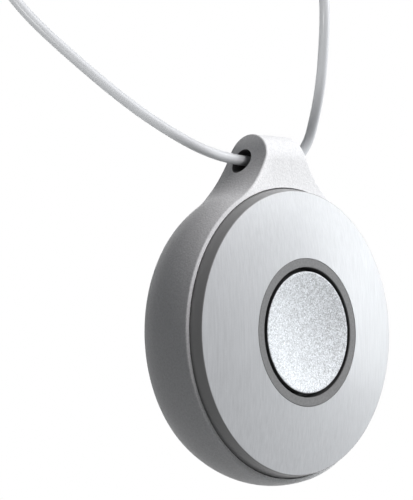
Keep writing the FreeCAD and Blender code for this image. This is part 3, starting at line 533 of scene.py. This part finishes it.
def moulded(name, grey, roughness, grain_depth, warmth=0.0, brushed=0.0, coat=0.0, gloss=0.5):
    """Satin moulded plastic: clouds, a spark-eroded grain, and perhaps faint upright strokes."""
    finish = Finish(name, Specular_IOR_Level=gloss, IOR=1.49, Coat_Weight=coat, Coat_Roughness=0.12)
    clouds = finish.noise(0.009, detail=3)
    grain = finish.flecks(0.00018)
    handled = finish.noise(0.0035, detail=4, roughness=0.6)
    strokes = (finish.noise(0.00024, upright=0.06) - 0.5) * 2.0 + 0.5
    blend = clouds * 0.3 + grain * (0.7 - brushed) + strokes * brushed
    finish.tone = finish.mix(blend, shade(grey - 18, warmth), shade(grey + 3, warmth))
    finish.feed("Base Color", finish.tone)
    finish.feed("Roughness", roughness + (handled - 0.5) * 0.12 + (grain - 0.5) * 0.08)
    pits = finish.noise(0.00028, detail=1)
    finish.feed("Normal", finish.bumps(pits, grain_depth))
    return finish


housing_satin = moulded("housing_satin", grey=253, roughness=0.50, grain_depth=0.000045, gloss=0.08)
cover_satin = moulded(
    "cover_satin", grey=214, warmth=-0.02, roughness=0.36, grain_depth=0.000004, brushed=0.6, coat=0.07)
door_satin = moulded("door_satin", grey=244, roughness=0.44, grain_depth=0.000025)
ring_matt = moulded("ring_matt", grey=126, roughness=0.62, grain_depth=0.000020)
housing_satin.onto(nodes["housing"])
cover_satin.onto(nodes["front_cover"])
door_satin.onto(nodes["rear_cover"])
ring_matt.onto(nodes["bezel_ring"])
print("moulded finishes on the housing, the covers and the ring")

# %% [markdown]
# ## Edges, gaps and the eye
# Narrow gaps and holes lie in deep shade, and here that shade is painted into the colour, as a
# darker grey: on the cover's side wall it draws the dark band beside the cover, on the ring's
# inner wall the black line round the button, and in the lug's eye the dark hole that the cord
# runs through. A thin painted dark line also runs round the cover's edge, for the shadow in the
# gap there. Each of those places is simple to state in the object's own coordinates: a
# depth behind the cover's rim, or a distance from an axis.

# %% Paint shade into the gaps
soft_step = 0.00008
cover_wall_y = -0.01105
edge_shade_line_radius = 0.01980
ring_front_y, ring_inner_radius = -0.01250, 0.00925
eye_radius = 0.00176


def paint_shade_where(finish, mask, grey):
    """Paints shade into a moulded finish: darker where the mask is one. A second call adds to the first.
    """
    finish.tone = finish.mix(mask.clamped(), finish.tone, shade(grey))
    finish.feed("Base Color", finish.tone)


# Painted shade: the cover's side wall behind its rim, and a thin line round its edge, are darkened.
paint_shade_where(cover_satin, (cover_satin.along(1) - cover_wall_y) / soft_step, grey=160)
paint_shade_where(cover_satin, (cover_satin.from_line(0, 2) - edge_shade_line_radius) / soft_step, grey=150)
# Painted shade: the ring's inner wall is darkened, which draws the black line round the button.
behind_front = (ring_matt.along(1) - ring_front_y) / soft_step
within_ring = (ring_inner_radius - ring_matt.from_line(0, 2)) / soft_step
paint_shade_where(ring_matt, behind_front * within_ring.clamped(), grey=74)
# Painted shade: the wall of the lug's eye is darkened.
from_eye = housing_satin.from_line(1, 2, (lug_eye.y, lug_eye.z))
paint_shade_where(housing_satin, (eye_radius - from_eye) / soft_step, grey=92)
print("darkened the cover's wall and edge, the ring's inner wall and the eye")

# %% [markdown]
# ## Metallic lacquer on the button
# The button is plastic with a silver lacquer. The lacquer holds tiny aluminium flakes, each
# lying at its own angle, so it glitters in grains instead of shining evenly. A random value
# for each grain makes some flakes brighter and tips them, through the bump, to another side.
# Only the dish is lacquered. The cap's sides get a dark grey and no metal, which is painted
# shade: it makes the gap round the button look like a drawn line.

# %% The button's lacquer
lacquer_fade = 0.00003
silver_lacquer = Finish("silver_lacquer", Specular_IOR_Level=0.5)
flakes = silver_lacquer.flecks(0.00015)
fine_flakes = silver_lacquer.flecks(0.0001)
cloud = silver_lacquer.noise(0.004)
glitter = flakes * 0.6 + fine_flakes * 0.4
# Painted shade: past the dish the cap's sides are dark grey and not metallic, so the gap reads as a dark
# line.
past_dish = silver_lacquer.from_line(0, 2) - (button_radius - lacquer_fade)
painted_shade_on_sides = (past_dish / lacquer_fade).clamped()
lacquer_tone = silver_lacquer.mix(glitter, shade(128, -0.03), shade(241, -0.03))
silver_lacquer.feed("Base Color", silver_lacquer.mix(painted_shade_on_sides, lacquer_tone, shade(58)))
silver_lacquer.feed("Metallic", 0.3 - painted_shade_on_sides * 0.3)
silver_lacquer.feed("Roughness", 0.48 + (glitter - 0.5) * 0.3 + (cloud - 0.5) * 0.05)
silver_lacquer.feed("Normal", silver_lacquer.bumps(glitter, 0.000018))
silver_lacquer.onto(button)
print("silver lacquer on the button")

# %% [markdown]
# ## Soft vinyl, rubber and the clasp
# The cord is smooth extruded vinyl with a soft sheen. The seals and the tie are rubber, darker
# and duller. The clasp is a small glossy moulding. All of them are slightly uneven, because
# dust and skin oil gather on soft plastic, so a coarse noise changes their roughness.

# %% The soft finishes
cord_vinyl = Finish("cord_vinyl", Specular_IOR_Level=0.4)
wipe = cord_vinyl.noise(0.006, detail=3)
cord_vinyl.feed("Base Color", cord_vinyl.mix(wipe, shade(212, -0.02), shade(224, -0.02)))
cord_vinyl.feed("Roughness", 0.34 + (wipe - 0.5) * 0.14)
cord_vinyl.onto(neck_cord)


def rubbery(name, grey, roughness):
    """Rubber or dull resin: a cloud of dust over fine pores."""
    finish = Finish(name, Specular_IOR_Level=0.4)
    dust = finish.noise(0.0012, detail=4, roughness=0.65)
    pores = finish.noise(0.00015)
    finish.feed("Base Color", finish.mix(dust, shade(grey), shade(grey + 16)))
    finish.feed("Roughness", roughness + (dust - 0.5) * 0.2)
    finish.feed("Normal", finish.bumps(pores, 0.000008))
    return finish


rubbery("seal_rubber", 34, 0.68).onto(nodes["button_seal"], nodes["rear_seal"])
rubbery("tie_rubber", 118, 0.6).onto(nodes["coil_tie"])
clasp_gloss = moulded("clasp_gloss", grey=208, warmth=-0.006, roughness=0.24, grain_depth=0.000005)
clasp_gloss.onto(nodes["clasp_plug"], nodes["clasp_socket"])
print("soft finishes on the cord, the seals, the tie and the clasp")

# %% [markdown]
# ## Metals
# Inside are a steel coin cell, sprung contacts, tinned cans, screws and a copper aerial. Bare
# metal shows where it was rolled or turned. Stretched noise gives fine lines along one
# direction, and a second, cloudy noise dulls it unevenly, as handling does.

# %% The metal finishes


def metal(name, colour, roughness):
    """Bare metal with fine lines along Z and a cloudy dullness."""
    finish = Finish(name, Metallic=1.0)
    lines = finish.noise(0.0001, upright=0.04)
    dulled = finish.noise(0.002, detail=3)
    dark = tuple(part * 0.82 for part in colour)
    finish.feed("Base Color", finish.mix(lines * 0.5 + dulled * 0.5, (*dark, 1), (*colour, 1)))
    finish.feed("Roughness", roughness + (dulled - 0.5) * 0.2 + (lines - 0.5) * 0.1)
    finish.feed("Normal", finish.bumps(lines, 0.000002))
    return finish


metal("cell_nickel", (0.72, 0.71, 0.68), 0.3).onto(nodes["coin_cell"])
metal("spring_nickel", (0.66, 0.65, 0.6), 0.26).onto(
    nodes["positive_clip"], nodes["negative_contact"], nodes["switch_dome"])
metal("shield_tin", (0.62, 0.62, 0.6), 0.36).onto(nodes["radio_module"], nodes["resonator"])
metal("screw_zinc", (0.55, 0.56, 0.57), 0.34).onto(nodes["rear_cover_screws"], nodes["board_screws"])
metal("aerial_copper", (0.72, 0.4, 0.22), 0.32).onto(nodes["aerial"])
print("metal finishes on the cell, contacts, cans, screws and aerial")

# %% [markdown]
# ## The circuit board and what it carries
# The board is green solder mask over a woven glass laminate. The weave shows faintly through
# the mask as a fine square grid of waves. The chips are dark moulded resin, and the small
# resistors and capacitors are pale fired ceramic.

# %% The board's finishes
solder_mask = Finish("solder_mask", Specular_IOR_Level=0.5)
threads = {"Vector": solder_mask.place, "Scale": 900.0}
weave_along = solder_mask.add("TexWave", {"bands_direction": "X"}, threads)
weave_across = solder_mask.add("TexWave", {"bands_direction": "Z"}, threads)
weave = weave_along * weave_across
solder_mask.feed("Base Color", solder_mask.mix(weave, (0.012, 0.085, 0.03, 1), (0.02, 0.14, 0.05, 1)))
solder_mask.feed("Roughness", 0.3 + weave * 0.15)
solder_mask.onto(nodes["circuit_board"])

rubbery("chip_resin", 44, 0.5).onto(nodes["controller_chip"])
rubbery("dark_moulding", 30, 0.42).onto(nodes["switch_body"], nodes["switch_stem"], nodes["seal_clamp"])
ceramic = Finish("fired_ceramic")
speckle = ceramic.flecks(0.0002)
ceramic.feed("Base Color", ceramic.mix(speckle, (0.34, 0.25, 0.16, 1), (0.5, 0.4, 0.28, 1)))
ceramic.feed("Roughness", 0.4 + speckle * 0.2)
ceramic.onto(nodes["small_components"])
print("finishes on the board and its pieces")

# %% [markdown]
# ## The white floor and background
# The photograph has a pure white background. A white that only the camera sees leaves the
# object's own light alone, so the world and the floor mix a plain white emission in for camera,
# glossy and transmission rays. The floor stays a little darker below the object, so that its
# shadow shows, and goes to white farther out. Its glow isn't sampled as a lamp, because that
# would only add noise to the thin cord.

# %% The world


def seen_directly(network):
    """One for rays from the camera and for mirror and glass rays, else nought."""
    rays = ("Is Camera Ray", "Is Glossy Ray", "Is Transmission Ray")
    camera_ray, mirror_ray, glass_ray = (network.add("LightPath", output=ray) for ray in rays)
    return camera_ray.at_least(mirror_ray).at_least(glass_ray)


world = bpy.data.worlds.new("studio")
scene.world = world
world.use_nodes = True
air = Network(world.node_tree)
ambient = air.tree.nodes["Background"]
air.fill(ambient.inputs["Color"], (0.86, 0.88, 0.92, 1))
air.fill(ambient.inputs["Strength"], 0.12)
plain_white = air.add("Background", None, {"Color": (1, 1, 1, 1)})
backdrop = air.add("MixShader", None, {
    0: seen_directly(air), 1: Signal(air, ambient.outputs[0]), 2: plain_white})
air.fill(air.tree.nodes["World Output"].inputs["Surface"], backdrop)
print("a white world for the camera, a dim one for the object")

# %% The floor
floor_reach, floor_z = 0.9, -0.30
white_from, white_to = 0.35, 0.70
glow_below = 0.8
floor_mesh = bpy.data.meshes.new("floor")
floor_corners = [
    (-floor_reach, -floor_reach, floor_z), (floor_reach, -floor_reach, floor_z),
    (floor_reach, floor_reach, floor_z), (-floor_reach, floor_reach, floor_z),
]
floor_mesh.from_pydata(floor_corners, [], [(0, 1, 2, 3)])
floor = bpy.data.objects.new("floor", floor_mesh)
scene.collection.objects.link(floor)
floor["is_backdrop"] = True

paper = Finish("white_floor", Base_Color=(0.32, 0.32, 0.32, 1), Roughness=0.9, Emission_Strength=1.0)
far_out = paper.add("VectorMath", {"operation": "LENGTH"}, {0: paper.place}, "Value")
whiter = ((far_out - white_from) / (white_to - white_from)).clamped()
glow = seen_directly(paper) * (glow_below + whiter * (1 - glow_below))
paper.feed("Emission Color", paper.mix(glow, (0, 0, 0, 1), (1, 1, 1, 1)))
paper.material.cycles.emission_sampling = "NONE"
paper.onto(floor)
print("a white floor,", round(-floor_z * 1000), "mm below the disc's middle")

# %% [markdown]
# ## The soft lights
# The shading tells where the light stood: the face is brightest at its upper right, the dish at
# its lower left, and the bulged side wall is in soft shade. Two cool panels on the right and a
# warmer one above the front do that. Weak panels above, below and behind keep the other sides
# readable.

# %% Hang the panels
front = (0, -0.01, 0)
cool_white = (0.94, 0.98, 1.0)
warm_white = (1.0, 0.965, 0.985)
even_white = (1, 1, 1)


def hang_lamp(name, kind, place, target, power):
    """Hangs a lamp at a place, turns it to a target and gives back its settings."""
    data = bpy.data.lights.new(name, kind)
    data.energy = power
    lamp = bpy.data.objects.new(name, data)
    lamp.location = place
    lamp.rotation_euler = (Vector(place) - Vector(target)).to_track_quat("Z", "Y").to_euler()
    scene.collection.objects.link(lamp)
    return data


# Each panel has a name, a place, a width and height in metres, a power in watts and a tint.
panels = [
    ("right_strip", (0.443, -0.226, 0.087), (0.18, 0.30), 0.95, cool_white),
    ("right_high", (0.278, -0.342, 0.25), (0.20, 0.20), 0.94, cool_white),
    ("front_high", (0.15, -0.355, 0.325), (0.30, 0.30), 1.30, warm_white),
    ("above", (0.10, -0.10, 0.48), (0.30, 0.30), 0.13, even_white),
    ("low_right", (0.42, 0.02, -0.20), (0.16, 0.16), 0.12, even_white),
    ("behind", (0.28, 0.44, 0.06), (0.40, 0.40), 0.5, even_white),
]
for name, place, size, power, tint in panels:
    data = hang_lamp(name, "AREA", place, front, power)
    data.shape = "RECTANGLE"
    data.size, data.size_y = size
    data.color = tint
print(len(panels), "panels")

# %% [markdown]
# ## Two narrow beams
# The cord is pale on the shaded side too, so it gets light of its own. A panel there would also
# light the side wall, so two lamps in tubes do it, with beams narrow enough to leave that wall
# alone. One is for the cord and one for the eye that it runs through. A spot's opening angle
# follows from the width that its beam has at the target.

# %% Aim the beams
# Each beam has a name, a place, a target, a width in metres at the target and a power in watts.
beams = [
    ("cord_beam", (-0.30, -0.12, -0.05), (-0.012, 0, 0.0705), 0.088, 2.0),
    ("eye_beam", (-0.03, -0.30, -0.03), (-0.0083, -0.005, 0.0252), 0.0072, 1.2),
]
for name, place, target, width, power in beams:
    data = hang_lamp(name, "SPOT", place, target, power)
    way = Vector(place) - Vector(target)
    data.spot_size = 2 * math.atan(width / 2 / way.length)
    data.spot_blend = 0.1
    data.shadow_soft_size = 0.003
print(len(beams), "beams")

# %% [markdown]
# ## Measure the size
# The dressed pendant has to stay inside the box of the CAD solids, because whoever places the
# part relies on that box. Its box is printed here, as the CAD box was at the start.

# %% Measure and finish
full_box = [list(corner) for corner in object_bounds()]
print("visual box in millimetres:", in_millimetres(full_box))
